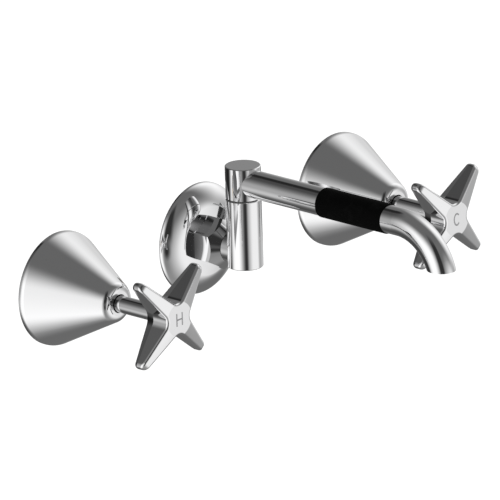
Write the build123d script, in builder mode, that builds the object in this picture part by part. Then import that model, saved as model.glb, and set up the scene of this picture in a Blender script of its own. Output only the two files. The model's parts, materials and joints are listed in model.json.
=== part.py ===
"""Wall mounted laundry tap set: two quarter turn taps with cross handles and a swivel spout.

All sizes are in millimetres. The origin is where the outlet's axis meets the finished wall.
+X runs right along the wall, +Y into the wall and +Z up, so whatever stands out of the wall
has negative Y. A value named ..._out is a distance out from the wall, and ..._in goes into it.
"""
from build123d import *
from math import acos, asin, atan, cos, degrees, pi, radians, sin, sqrt, tan
import os

# Layout on the wall
tap_spacing = 214.0          # between the spindles of the two taps

# Half inch pipe thread, drawn plain at its major radius
thread_r = 10.48
thread_fit = 0.02            # radial gap between two threads that are screwed together

# Fits
slip_fit = 0.06              # radial gap of what turns in a bore
seal_gap = 0.02              # radial gap between a seal ring and the bore it slides in
face_gap = 0.05              # gap between two faces that turn past each other
loose_gap = 0.4              # gap round what passes by without touching

# Cone cover of each tap
cone_base_r = 30.6
cone_lip = 2.55              # straight rim against the wall, before its corner is rounded
cone_lip_round = 4.5
cone_edge_round = 0.4        # where the rim meets the wall
cone_depth = 44.0            # wall to nose
nose_r = 9.6                 # the cone carried on to the nose face, before its corner is rounded
nose_round = 4.8
nose_wall = 2.2
cone_wall = 2.0
cone_hole_gap = 0.5          # dark ring between the shank and the nose
cover_neck_wall = 1.7        # threaded neck inside the cone
cover_neck_gap = 3.0         # between the body's hexagon and this neck

# Valve body of each tap
body_thread_in = 8.0         # pipe thread inside the wall
cage_r = 8.2
cage_wall = 1.4
cage_length = 10.5           # plain cage beyond the thread, round the discs
collar_r = 12.3
collar_thick = 2.0
collar_ring_r = 1.0          # section radius of the seal ring under the collar
collar_groove = 0.6          # depth of the undercut behind the collar that holds this ring
body_hex = 22.0              # across flats
body_hex_length = 7.0
body_neck_r = 9.0            # carries the thread of the cone cover
gland_r = 7.2
gland_length = 3.2
gland_room = 6.6             # from the gland to the inside of the nose
window_width = 7.0
window_height = 2.6
window_round = 0.8

# Seat ring and ceramic discs
seat_proud = 1.0             # the seat ring stands out of the cage
seat_thick = 3.0
seat_bore_r = 4.2
disc_thick = 2.6
moving_disc_thick = 2.2
port_inner_r = 2.2
port_margin = 1.1            # between the ports and the edge of the disc
port_angle = 68.0            # degrees spanned by each of the two ports
quarter_turn = 90.0

# Spindle, with its seals and clip
shank_r = 4.55
foot_thick = 1.5
foot_clear = 2.0             # the foot sits this far beyond the end of the wall thread
drive_r = 3.4                # slim part between foot and disc
tang_width = 2.4
tang_length = 8.6
tang_depth = 1.2
tang_fit = 0.05
spindle_seal_r = 0.65        # section radius
spindle_seal_outs = (15.0, 20.0)
clip_thick = 0.8
clip_grip = 0.6              # depth of the clip's groove
clip_inset = 0.6             # the clip and the washer are this much smaller than the gland
clip_opening = 70.0          # degrees left open
gland_washer_thick = 0.6
gland_washer_inset = 0.3

# Cross handle
shank_show = 26.7            # bare shank between nose and handle
handle_depth = 16.1
arm_count = 4
arm_tip_r = 32.4             # spindle axis to the end of an arm
arm_root_half = 5.3          # half width of an arm, carried back to the axis
arm_tip_half = 2.3
valley_r = 5.8               # round between two arms
hub_flat_r = 9.3             # flat middle of the front face
hub_blend_r = 2.0            # softens the crease round it
front_fall = 11.0            # degrees that the arms fall back from the flat middle
back_flat_r = 7.0
back_rise = 11.2             # degrees that the back comes forward towards the tips
rear_root_half = 4.35        # as arm_root_half, at the handle's back
rear_tip_half = 0.9
flank_draft = 12.0           # degrees by which the rear part of each flank leans in
edge_round = 1.5             # along the rim of the front
back_edge_round = 2.0
tip_round = 4.0              # from the front over the end of an arm
tip_spare = 0.05             # the turned profile stands this far off the arms' ends
front_tilt = 0.2             # a face that looks out of the wall by more than this is front
handle_bore_depth = 12.0
handle_screw_back = 9.0      # its distance behind the front
handle_screw_r = 2.0
handle_screw_key = 2.0       # hexagon socket across flats
handle_screw_key_depth = 1.6
handle_screw_sink = 0.5      # its end lies this far below the valley
shank_flat = 0.6             # depth of the flat that the screw bears on
shank_flat_length = 6.0

# Outlet against the wall
nipple_in = 16.0             # pipe thread inside the wall
nipple_bore_r = 5.8
nipple_waist_depth = 0.88    # the plain waist is this much slimmer than the thread
nipple_waist_length = 5.0
nipple_key = 13.0            # hexagon socket across flats
nipple_key_depth = 8.0
flat_seal_thick = 1.5
tail_collar_gap = 0.3        # between the collar and the nut's thread
tail_collar_thick = 1.8
tail_r = 5.6
tail_bore_r = 3.8
tail_show = 2.1              # bare tail between the nut and the post
tail_sink = 2.6              # how far the tail enters the post
nut_hex = 24.0               # across flats
nut_length = 13.6
nut_grip = 5.0               # thread of the nipple inside the nut
nut_face_angle = 20.0
nut_turn = 30.0              # brings two flats upright, left and right

# Dome
dome_r = 30.15
dome_lip = 0.8
dome_height = 8.6            # up to the flat land that the nut bears on
dome_land_r = 14.6
dome_wall = 1.3
dome_rim_pull = 2.2          # how far the rim keeps rising straight before it turns in
dome_top_pull = 5.0          # how far the land's level carries on before the dome falls

# Post and swivel
post_r = 9.5
post_bore_r = 6.2
post_bottom = -8.75
post_floor = 3.0
post_edge = 0.35             # small chamfer on the post's edges
head_rim = 1.5               # metal of the swivel head above the spout's tube
head_lip = 1.15              # and below it
swivel_washer_thick = 0.4
swivel_washer_inset = 0.3    # it lies this far inside the post's surface
stem_drop = 19.65            # the stem hangs this far below the head
stem_thread_r = 5.5
stem_engagement = 4.2
stem_bore_r = 3.6
stem_seal_r = 0.65
stem_seal_drops = (12.65, 16.65)
stop_drop = 7.15             # middle of the stop slot, below the head
swivel_limit = 50.0          # degrees each way
stop_screw_r = 2.0
stop_screw_back = 0.3        # its thread ends this far short of the post's bore
stop_screw_key = 2.0         # hexagon socket across flats
stop_screw_key_depth = 1.4
stop_screw_sink = 0.4
stop_tip_r = 1.2
stop_tip_reach = 1.0         # how far the tip stands into the post's bore
stop_slack = 0.5             # degrees left at the end of the swing
stop_slot_floor = 0.26       # between the tip and the slot's floor
stop_slot_gap = 0.3          # above and below the tip

# Spout
spout_height = 37.8
spout_r = 7.5
spout_wall = 1.2
spout_seat_gap = 0.3         # between the stem's thread and the tube's end
spout_straight = 112.0       # end of the straight run, from the post's axis
spout_bend_r = 30.0
spout_drop = 20.6            # from the tube's axis down to its level end
spout_overrun = 8.0          # degrees swept past the level cut
sleeve_start = 58.5          # from the post's axis
sleeve_end_gap = 7.9         # from the sleeve to the start of the bend
sleeve_wall = 0.5
sleeve_edge = 0.2

# Worked out from the sizes above
gland_out = cone_depth - nose_wall - gland_room
neck_end_out = gland_out - gland_length
collar_back_out = 2 * collar_ring_r
collar_out = collar_back_out + collar_thick
collar_groove_r = thread_r - collar_groove
hex_out = collar_out + body_hex_length
cover_neck_out = hex_out + cover_neck_gap
cage_in = body_thread_in + cage_length
cage_bore_r = cage_r - cage_wall
foot_r = cage_bore_r - loose_gap
port_outer_r = cage_bore_r - port_margin
chamber_in = body_thread_in - foot_clear
foot_in = chamber_in + face_gap
seat_in = cage_in + seat_proud
disc_in = seat_in - seat_thick
moving_disc_in = disc_in - disc_thick - face_gap
drive_in = moving_disc_in - moving_disc_thick
disc_r = cage_bore_r - slip_fit
hub_back_out = cone_depth + shank_show
handle_front_out = hub_back_out + handle_depth
shank_end_out = hub_back_out + handle_bore_depth
handle_screw_out = handle_front_out - handle_screw_back
shank_bore_r = shank_r + slip_fit
cover_thread_r = body_neck_r + thread_fit
cover_neck_r = cover_thread_r + cover_neck_wall
cone_hole_r = shank_r + cone_hole_gap
nose_cavity_r = gland_r + loose_gap
clip_out = gland_out + gland_washer_thick + face_gap
clip_groove_r = shank_r - clip_grip
clip_r = gland_r - clip_inset
gland_washer_r = gland_r - gland_washer_inset
spindle_groove_r = shank_bore_r - seal_gap - 2 * spindle_seal_r

arm_taper = (arm_root_half - arm_tip_half) / arm_tip_r
rear_tip_r = arm_tip_r - (arm_tip_half - rear_tip_half)
rear_taper = (rear_root_half - rear_tip_half) / rear_tip_r
rear_valley_r = valley_r + arm_root_half - rear_root_half
flank_growth = handle_depth * tan(radians(flank_draft))
profile_r = arm_tip_r + tip_spare
front_drop = (profile_r - hub_flat_r) * tan(radians(front_fall))
back_lift = (profile_r - back_flat_r) * tan(radians(back_rise))
slope_middle = ((hub_flat_r + profile_r) / 2, handle_front_out - front_drop / 2)
profile_middle = (profile_r, (hub_back_out + handle_front_out) / 2)

nut_thread_r = thread_r + thread_fit
nut_mouth_r = tail_r + loose_gap
nut_face_out = dome_height + nut_length
nut_side_out = nut_face_out - (nut_hex - nut_mouth_r) * tan(radians(nut_face_angle))
dome_hole_r = thread_r + loose_gap
nipple_out = dome_height + nut_grip
nipple_waist_r = thread_r - nipple_waist_depth
seal_out = nipple_out + flat_seal_thick
tail_collar_r = nut_thread_r - tail_collar_gap
tail_collar_out = seal_out + tail_collar_thick
post_out = nut_face_out + tail_show + post_r
tail_end_out = nut_face_out + tail_show + tail_sink
post_top = spout_height + spout_r + head_rim
swivel_base = spout_height - spout_r - head_lip
seam_height = swivel_base - face_gap - swivel_washer_thick
swivel_washer_r = post_r - swivel_washer_inset
stem_top = swivel_base + stem_engagement
stem_bottom = swivel_base - stem_drop
stem_r = post_bore_r - slip_fit
stem_groove_r = post_bore_r - seal_gap - 2 * stem_seal_r
stop_height = swivel_base - stop_drop
stop_tip_end_r = post_bore_r - stop_tip_reach
stop_slot_r = stop_tip_end_r - stop_slot_floor
stop_half_angle = swivel_limit + degrees(asin(stop_tip_r / stop_tip_end_r)) + stop_slack
stop_screw_end_r = post_r - stop_screw_sink
stop_screw_length = stop_screw_end_r - post_bore_r - stop_screw_back
spout_bore_r = spout_r - spout_wall
spout_seat = stem_thread_r + spout_seat_gap
spout_cut_turn = degrees(acos((spout_bend_r - spout_drop) / (spout_bend_r + spout_r)))
sleeve_length = spout_straight - sleeve_start - sleeve_end_gap
head_roof = spout_height + spout_bore_r

os.makedirs("parts", exist_ok=True)


def front_plane(x, out):
    """Plane facing out of the wall: its x is right and its y is up."""
    return Plane(origin=(x, -out, 0), x_dir=(1, 0, 0), z_dir=(0, -1, 0))


def turned_plane(x):
    """Plane for turned profiles: its x is the radius and its y the distance out."""
    return Plane(origin=(x, 0, 0), x_dir=(1, 0, 0), z_dir=(0, 0, -1))


def down_plane(x, out, down):
    """Plane facing down, in front of the wall and below the units' axes."""
    return Plane(origin=(x, -out, -down), x_dir=(1, 0, 0), z_dir=(0, 0, -1))


def out_axis(x):
    """Axis of a unit, pointing out of the wall."""
    return Axis((x, 0, 0), (0, -1, 0))


def save(block, name):
    """Label a finished piece and write it out."""
    block.part.label = name
    export_step(block.part, f"parts/{name}.step")


def draw_profile(*points):
    """Closed straight sided face in the current sketch."""
    with BuildLine() as outline:
        Polyline(*points, close=True)
    make_face(outline.edges())


def draw_ring(inner_r, outer_r):
    """Flat ring in the current sketch."""
    Circle(outer_r)
    Circle(inner_r, mode=Mode.SUBTRACT)


def draw_cross(root_half, taper, tip_r, valley):
    """Cross in the current sketch: tapered arms with round ends and round valleys."""
    half_angle = pi / arm_count
    lean = atan(taper)
    tip_round = (root_half - taper * tip_r) * cos(lean) / (1 - sin(lean))
    tip_u = tip_r - tip_round * (1 - sin(lean))
    tip_v = tip_round * cos(lean)
    valley_reach = (valley / cos(lean) + root_half) / (sin(half_angle) + taper * cos(half_angle))
    root_u = valley_reach * cos(half_angle) - valley * sin(lean)
    root_v = valley_reach * sin(half_angle) - valley * cos(lean)
    floor_r = valley_reach - valley

    def turned(u, v, turn):
        return u * cos(turn) - v * sin(turn), u * sin(turn) + v * cos(turn)

    with BuildLine() as outline:
        for arm in range(arm_count):
            turn = (2 * arm + 1) * half_angle
            low_root, low_tip = turned(root_u, -root_v, turn), turned(tip_u, -tip_v, turn)
            high_root, high_tip = turned(root_u, root_v, turn), turned(tip_u, tip_v, turn)
            Line(low_root, low_tip)
            ThreePointArc(low_tip, turned(tip_r, 0, turn), high_tip)
            Line(high_tip, high_root)
            valley_floor = turned(floor_r, 0, turn + half_angle)
            ThreePointArc(high_root, valley_floor, turned(root_u, -root_v, turn + 2 * half_angle))
    make_face(outline.edges())
    return floor_r


def draw_ports(middle):
    """Two opposite water ports in the current sketch, the first centred on an angle."""
    for turn in (middle, middle + 180):
        with BuildLine() as outline:
            outer = CenterArc((0, 0), port_outer_r, turn - port_angle / 2, port_angle)
            inner = CenterArc((0, 0), port_inner_r, turn - port_angle / 2, port_angle)
            Line(outer @ 0, inner @ 0)
            Line(outer @ 1, inner @ 1)
        make_face(outline.edges())


for unit, x in (("hot", -tap_spacing / 2), ("cold", tap_spacing / 2)):
    axis = out_axis(x)

    # Cone cover: a straight cone with a rounded nose, screwed onto the valve body's neck
    slope = (cone_base_r - nose_r) / (cone_depth - cone_lip)
    inner_base_r = cone_base_r - cone_wall * sqrt(1 + slope ** 2)
    neck_meet_out = cone_lip + (inner_base_r - cover_neck_r) / slope
    with BuildPart() as flange:
        with BuildSketch(turned_plane(x)):
            draw_profile(
                (cone_base_r, 0), (cone_base_r, cone_lip), (nose_r, cone_depth),
                (cone_hole_r, cone_depth), (cone_hole_r, cone_depth - nose_wall),
                (nose_cavity_r, cone_depth - nose_wall), (nose_cavity_r, neck_end_out),
                (cover_thread_r, neck_end_out), (cover_thread_r, cover_neck_out),
                (cover_neck_r, cover_neck_out), (cover_neck_r, neck_meet_out),
                (inner_base_r, cone_lip), (inner_base_r, 0),
            )
        revolve(axis=axis)
        for turn_out, rounding in (
            (cone_depth, nose_round), (cone_lip, cone_lip_round), (0, cone_edge_round),
        ):
            rings = flange.edges().filter_by(GeomType.CIRCLE)
            rings = rings.filter_by_position(Axis.Y, -turn_out, -turn_out)
            fillet(rings.sort_by(SortBy.RADIUS)[-1], rounding)
    save(flange, f"{unit}_flange")

    # Valve body: cage round the discs, pipe thread, collar, hexagon, neck and gland
    with BuildPart() as valve_body:
        with BuildSketch(turned_plane(x)):
            draw_profile(
                (cage_bore_r, -cage_in), (cage_r, -cage_in), (cage_r, -body_thread_in),
                (thread_r, -body_thread_in), (thread_r, 0), (collar_groove_r, 0),
                (collar_groove_r, collar_back_out), (collar_r, collar_back_out),
                (collar_r, collar_out), (body_neck_r, collar_out), (body_neck_r, neck_end_out),
                (gland_r, neck_end_out), (gland_r, gland_out), (shank_bore_r, gland_out),
                (shank_bore_r, -chamber_in), (cage_bore_r, -chamber_in),
            )
        revolve(axis=axis)
        with BuildSketch(front_plane(x, collar_out)):
            RegularPolygon(body_hex / 2, side_count=6, major_radius=False)
            Circle(shank_bore_r, mode=Mode.SUBTRACT)
        extrude(amount=body_hex_length)
        with BuildSketch(Plane.YZ.offset(x)):
            with Locations(((body_thread_in + drive_in) / 2, 0)):
                RectangleRounded(window_height, window_width, window_round)
        extrude(amount=cage_r, both=True, mode=Mode.SUBTRACT)
    save(valve_body, f"{unit}_valve_body")

    # Seal ring between the collar and the in-wall fitting
    with BuildPart() as body_ring:
        with BuildSketch(turned_plane(x)):
            with Locations((collar_groove_r + collar_ring_r, collar_ring_r)):
                Circle(collar_ring_r)
        revolve(axis=axis)
    save(body_ring, f"{unit}_body_o_ring")

    # Seat ring, held in the open end of the cage
    with BuildPart() as seat_seal:
        with BuildSketch(front_plane(x, -seat_in)):
            draw_ring(seat_bore_r, cage_bore_r)
        extrude(amount=seat_thick)
    save(seat_seal, f"{unit}_seat_seal")

    # Ceramic discs: the fixed one stays in the cage, the moving one turns with the spindle
    with BuildPart() as fixed_disc:
        with BuildSketch(front_plane(x, -disc_in)):
            Circle(cage_bore_r)
        extrude(amount=disc_thick)
        with BuildSketch(front_plane(x, -disc_in)):
            draw_ports(quarter_turn)
        extrude(amount=disc_thick, mode=Mode.SUBTRACT)
    save(fixed_disc, f"{unit}_fixed_disc")

    with BuildPart() as moving_disc:
        with BuildSketch(front_plane(x, -moving_disc_in)):
            Circle(disc_r)
        extrude(amount=moving_disc_thick)
        with BuildSketch(front_plane(x, -moving_disc_in)):
            draw_ports(0)
        extrude(amount=moving_disc_thick, mode=Mode.SUBTRACT)
        with BuildSketch(front_plane(x, -drive_in)):
            Rectangle(tang_width + 2 * tang_fit, tang_length + 2 * tang_fit)
        extrude(amount=-tang_depth, mode=Mode.SUBTRACT)
    save(moving_disc, f"{unit}_moving_disc")

    # Spindle: tang, drive, foot and shank, with grooves and a flat for the handle's screw
    with BuildPart() as spindle:
        with BuildSketch(turned_plane(x)):
            draw_profile(
                (0, -drive_in), (drive_r, -drive_in), (drive_r, -foot_in - foot_thick),
                (foot_r, -foot_in - foot_thick), (foot_r, -foot_in), (shank_r, -foot_in),
                (shank_r, shank_end_out), (0, shank_end_out),
            )
        revolve(axis=axis)
        with BuildSketch(front_plane(x, -drive_in)):
            Rectangle(tang_width, tang_length)
        extrude(amount=-tang_depth)
        with BuildSketch(turned_plane(x)):
            for seal_out_of_wall in spindle_seal_outs:
                with Locations((shank_r, seal_out_of_wall)):
                    Rectangle(2 * (shank_r - spindle_groove_r), 2 * spindle_seal_r + 2 * face_gap)
            with Locations((shank_r, clip_out + clip_thick / 2)):
                Rectangle(2 * clip_grip, clip_thick)
        revolve(axis=axis, mode=Mode.SUBTRACT)
        with BuildSketch(front_plane(x, handle_screw_out - shank_flat_length / 2)):
            with Locations((0, -shank_r)):
                Rectangle(2 * shank_r, 2 * shank_flat)
        extrude(amount=shank_flat_length, mode=Mode.SUBTRACT)
    save(spindle, f"{unit}_spindle")

    # Two seal rings in the spindle's grooves
    with BuildPart() as spindle_rings:
        with BuildSketch(turned_plane(x)):
            for seal_out_of_wall in spindle_seal_outs:
                with Locations((spindle_groove_r + spindle_seal_r, seal_out_of_wall)):
                    Circle(spindle_seal_r)
        revolve(axis=axis)
    save(spindle_rings, f"{unit}_spindle_o_rings")

    # Slip washer and circlip on the gland
    with BuildPart() as gland_washer:
        with BuildSketch(front_plane(x, gland_out)):
            draw_ring(shank_r + loose_gap / 2, gland_washer_r)
        extrude(amount=gland_washer_thick)
    save(gland_washer, f"{unit}_gland_washer")

    half_opening = radians(clip_opening / 2)
    with BuildPart() as circlip:
        with BuildSketch(front_plane(x, clip_out)):
            draw_ring(clip_groove_r, clip_r)
            with BuildLine():
                Polyline(
                    (0, 0), (2 * clip_r * cos(half_opening), 2 * clip_r * sin(half_opening)),
                    (2 * clip_r * cos(half_opening), -2 * clip_r * sin(half_opening)), close=True,
                )
            make_face(mode=Mode.SUBTRACT)
        extrude(amount=clip_thick)
    save(circlip, f"{unit}_circlip")

    # Cross handle: a prism between a coned front and a coned back, with leaning rear flanks
    with BuildPart() as handle:
        with BuildSketch(front_plane(x, hub_back_out)):
            valley_floor_r = draw_cross(arm_root_half, arm_taper, arm_tip_r, valley_r)
        extrude(amount=handle_depth)
        with BuildSketch(turned_plane(x)):
            with BuildLine():
                FilletPolyline(
                    (0, handle_front_out), (hub_flat_r, handle_front_out), slope_middle,
                    radius=hub_blend_r,
                )
                FilletPolyline(
                    slope_middle, (profile_r, handle_front_out - front_drop), profile_middle,
                    radius=tip_round,
                )
                Polyline(
                    profile_middle, (profile_r, hub_back_out + back_lift),
                    (back_flat_r, hub_back_out), (0, hub_back_out), (0, handle_front_out),
                )
            make_face()
        revolve(axis=axis, mode=Mode.INTERSECT)
        for side, rounding in ((-1, edge_round), (1, back_edge_round)):
            side_edges = []
            for face in handle.faces():
                if side * face.normal_at().Y > front_tilt:
                    side_edges += face.edges()
            fillet([edge for edge in side_edges if side_edges.count(edge) == 1], rounding)
        with BuildSketch(front_plane(x, hub_back_out)):
            draw_cross(rear_root_half, rear_taper, rear_tip_r, rear_valley_r)
        with BuildSketch(front_plane(x, handle_front_out)):
            draw_cross(
                rear_root_half + flank_growth * sqrt(1 + rear_taper ** 2), rear_taper,
                rear_tip_r + flank_growth, rear_valley_r - flank_growth,
            )
        loft(ruled=True, mode=Mode.INTERSECT)
        with BuildSketch(front_plane(x, hub_back_out)):
            Circle(shank_r)
        extrude(amount=handle_bore_depth, mode=Mode.SUBTRACT)
        with BuildSketch(down_plane(x, handle_screw_out, 0)):
            Circle(handle_screw_r)
        extrude(amount=valley_floor_r + valley_r, mode=Mode.SUBTRACT)
    save(handle, f"{unit}_handle")

    # Grub screw in the underside of the hub, against the spindle's flat
    with BuildPart() as handle_screw:
        with BuildSketch(down_plane(x, handle_screw_out, shank_r - shank_flat)):
            Circle(handle_screw_r)
        extrude(amount=valley_floor_r - handle_screw_sink - shank_r + shank_flat)
        with BuildSketch(down_plane(x, handle_screw_out, valley_floor_r - handle_screw_sink)):
            RegularPolygon(handle_screw_key / 2, side_count=6, major_radius=False)
        extrude(amount=-handle_screw_key_depth, mode=Mode.SUBTRACT)
    save(handle_screw, f"{unit}_handle_screw")

# Outlet nipple, with a hexagon socket in its outer end
outlet_axis = out_axis(0)
with BuildPart() as outlet_nipple:
    with BuildSketch(turned_plane(0)):
        draw_profile(
            (nipple_bore_r, -nipple_in), (thread_r, -nipple_in), (thread_r, 0),
            (nipple_waist_r, 0), (nipple_waist_r, nipple_waist_length),
            (thread_r, nipple_waist_length), (thread_r, nipple_out), (nipple_bore_r, nipple_out),
        )
    revolve(axis=outlet_axis)
    with BuildSketch(front_plane(0, nipple_out)):
        RegularPolygon(nipple_key / 2, side_count=6, major_radius=False)
    extrude(amount=-nipple_key_depth, mode=Mode.SUBTRACT)
save(outlet_nipple, "outlet_nipple")

# Flat seal between the nipple and the tail's collar
with BuildPart() as outlet_seal:
    with BuildSketch(front_plane(0, nipple_out)):
        draw_ring(nipple_key / sqrt(3), tail_collar_r)
    extrude(amount=flat_seal_thick)
save(outlet_seal, "outlet_seal")

# Collared tail that runs out through the nut and into the post
with BuildPart() as outlet_tail:
    with BuildSketch(turned_plane(0)):
        draw_profile(
            (tail_bore_r, seal_out), (tail_collar_r, seal_out), (tail_collar_r, tail_collar_out),
            (tail_r, tail_collar_out), (tail_r, tail_end_out), (tail_bore_r, tail_end_out),
        )
    revolve(axis=outlet_axis)
save(outlet_tail, "outlet_tail")

# Union nut with a coned face
with BuildPart() as outlet_nut:
    with BuildSketch(front_plane(0, dome_height)):
        RegularPolygon(nut_hex / 2, side_count=6, major_radius=False, rotation=nut_turn)
    extrude(amount=nut_face_out - dome_height)
    with BuildSketch(turned_plane(0)):
        draw_profile(
            (nut_thread_r, dome_height), (nut_hex, dome_height), (nut_hex, nut_side_out),
            (nut_mouth_r, nut_face_out), (nut_mouth_r, tail_collar_out),
            (nut_thread_r, tail_collar_out),
        )
    revolve(axis=outlet_axis, mode=Mode.INTERSECT)
save(outlet_nut, "outlet_nut")

# Dome over the hole in the wall, trapped by the nut
with BuildPart() as outlet_flange:
    with BuildSketch(turned_plane(0)):
        with BuildLine():
            Line((dome_r, 0), (dome_r, dome_lip))
            Bezier(
                (dome_r, dome_lip), (dome_r, dome_lip + dome_rim_pull),
                (dome_land_r + dome_top_pull, dome_height), (dome_land_r, dome_height),
            )
            Polyline(
                (dome_land_r, dome_height), (dome_hole_r, dome_height),
                (dome_hole_r, dome_height - dome_wall), (dome_land_r, dome_height - dome_wall),
            )
            Bezier(
                (dome_land_r, dome_height - dome_wall),
                (dome_land_r + dome_top_pull - dome_wall / 2, dome_height - dome_wall),
                (dome_r - dome_wall, dome_lip + dome_rim_pull - dome_wall / 2),
                (dome_r - dome_wall, dome_lip),
            )
            Polyline((dome_r - dome_wall, dome_lip), (dome_r - dome_wall, 0), (dome_r, 0))
        make_face()
    revolve(axis=outlet_axis)
save(outlet_flange, "outlet_flange")

# Lower post with a blind bore, the tail's seat in its back and a tapped hole for the stop screw
post_axis = Axis((0, -post_out, 0), (0, 0, 1))
post_plane = front_plane(0, post_out)
stop_plane = Plane(origin=(0, -post_out, stop_height), x_dir=(1, 0, 0), z_dir=(0, 1, 0))
with BuildPart() as column:
    with BuildSketch(post_plane):
        draw_profile(
            (0, post_bottom), (post_r - post_edge, post_bottom), (post_r, post_bottom + post_edge),
            (post_r, seam_height - post_edge), (post_r - post_edge, seam_height),
            (post_bore_r, seam_height), (post_bore_r, post_bottom + post_floor),
            (0, post_bottom + post_floor),
        )
    revolve(axis=post_axis)
    with BuildSketch(front_plane(0, tail_end_out)):
        Circle(tail_r)
    extrude(amount=-2 * tail_sink, mode=Mode.SUBTRACT)
    with BuildSketch(front_plane(0, tail_end_out)):
        Circle(tail_bore_r)
    extrude(amount=post_out - tail_end_out, mode=Mode.SUBTRACT)
    with BuildSketch(stop_plane):
        Circle(stop_screw_r)
    extrude(amount=post_r, mode=Mode.SUBTRACT)
save(column, "column")

# Stop screw: its tip stands in the stem's slot, keeps the spout down and ends its swing
with BuildPart() as stop_screw:
    with BuildSketch(stop_plane.offset(stop_tip_end_r)):
        Circle(stop_tip_r)
    extrude(amount=stop_screw_end_r - stop_tip_end_r)
    with BuildSketch(stop_plane.offset(stop_screw_end_r)):
        Circle(stop_screw_r)
    extrude(amount=-stop_screw_length)
    with BuildSketch(stop_plane.offset(stop_screw_end_r)):
        RegularPolygon(stop_screw_key / 2, side_count=6, major_radius=False)
    extrude(amount=-stop_screw_key_depth, mode=Mode.SUBTRACT)
save(stop_screw, "swivel_grub_screw")

# Slip washer in the seam
with BuildPart() as swivel_washer:
    with BuildSketch(Plane.XY.offset(seam_height)):
        with Locations((0, -post_out)):
            draw_ring(post_bore_r, swivel_washer_r)
    extrude(amount=swivel_washer_thick)
save(swivel_washer, "swivel_washer")

# Swivel head: upper post, open below for the stem and in front for the spout
with BuildPart() as swivel_head:
    with BuildSketch(post_plane):
        draw_profile(
            (stem_thread_r, swivel_base), (post_r - post_edge, swivel_base),
            (post_r, swivel_base + post_edge), (post_r, post_top - post_edge),
            (post_r - post_edge, post_top), (0, post_top), (0, head_roof),
            (stem_thread_r, head_roof),
        )
    revolve(axis=post_axis)
    with BuildSketch(post_plane):
        with Locations((0, spout_height)):
            Circle(spout_bore_r)
    extrude(amount=post_r, mode=Mode.SUBTRACT)
    with BuildSketch(post_plane.offset(spout_seat)):
        with Locations((0, spout_height)):
            Circle(spout_r)
    extrude(amount=post_r, mode=Mode.SUBTRACT)
save(swivel_head, "swivel_head")

# Swivel stem: hollow journal under the head, with seal grooves and a part turn stop slot
slot_start = radians(quarter_turn - stop_half_angle)
slot_plane = Plane(
    origin=(0, -post_out, 0), x_dir=(cos(slot_start), sin(slot_start), 0),
    z_dir=(sin(slot_start), -cos(slot_start), 0),
)
with BuildPart() as swivel_stem:
    with BuildSketch(post_plane):
        draw_profile(
            (stem_bore_r, stem_bottom), (stem_r, stem_bottom), (stem_r, swivel_base),
            (stem_thread_r, swivel_base), (stem_thread_r, stem_top), (stem_bore_r, stem_top),
        )
    revolve(axis=post_axis)
    with BuildSketch(post_plane):
        for seal_drop in stem_seal_drops:
            with Locations((stem_r, swivel_base - seal_drop)):
                Rectangle(2 * (stem_r - stem_groove_r), 2 * stem_seal_r + 2 * face_gap)
    revolve(axis=post_axis, mode=Mode.SUBTRACT)
    with BuildSketch(slot_plane):
        with Locations((stem_r, stop_height)):
            Rectangle(2 * (stem_r - stop_slot_r), 2 * stop_tip_r + 2 * stop_slot_gap)
    revolve(axis=post_axis, revolution_arc=2 * stop_half_angle, mode=Mode.SUBTRACT)
save(swivel_stem, "swivel_stem")

# Two seal rings in the stem's grooves
with BuildPart() as stem_rings:
    with BuildSketch(post_plane):
        for seal_drop in stem_seal_drops:
            with Locations((stem_groove_r + stem_seal_r, swivel_base - seal_drop)):
                Circle(stem_seal_r)
    revolve(axis=post_axis)
save(stem_rings, "stem_o_rings")

# Spout tube: straight run and bend, cut off level at its mouth
bend_axis = Axis((0, -post_out - spout_straight, spout_height - spout_bend_r), (1, 0, 0))
with BuildPart() as spout_tube:
    with BuildSketch(post_plane.offset(spout_seat)):
        with Locations((0, spout_height)):
            draw_ring(spout_bore_r, spout_r)
    extrude(amount=spout_straight - spout_seat)
    with BuildSketch(post_plane.offset(spout_straight)):
        with Locations((0, spout_height)):
            draw_ring(spout_bore_r, spout_r)
    revolve(axis=bend_axis, revolution_arc=spout_cut_turn + spout_overrun)
    split(bisect_by=Plane.XY.offset(spout_height - spout_drop), keep=Keep.TOP)
save(spout_tube, "spout_tube")

# Rubber sleeve on the tube
with BuildPart() as spout_sleeve:
    with BuildSketch(post_plane.offset(sleeve_start)):
        with Locations((0, spout_height)):
            draw_ring(spout_r, spout_r + sleeve_wall)
    extrude(amount=sleeve_length)
    rims = spout_sleeve.edges().filter_by(GeomType.CIRCLE).group_by(SortBy.RADIUS)[-1]
    chamfer(rims, sleeve_edge)
save(spout_sleeve, "spout_sleeve")
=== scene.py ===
"""Studio scene of a wall mounted laundry tap set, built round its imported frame.

Sizes are in millimetres, as in the part's own source, and turn to metres where a mesh is made.
+X runs right along the wall, +Y into the wall and +Z up. A size named ..._out is a distance
out from the wall, and one named ..._in goes into it.
"""

import json
import logging
import math
from collections.abc import Mapping
from dataclasses import dataclass, field
from enum import Enum

import bmesh
import bpy
from mathutils import Matrix, Vector

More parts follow.
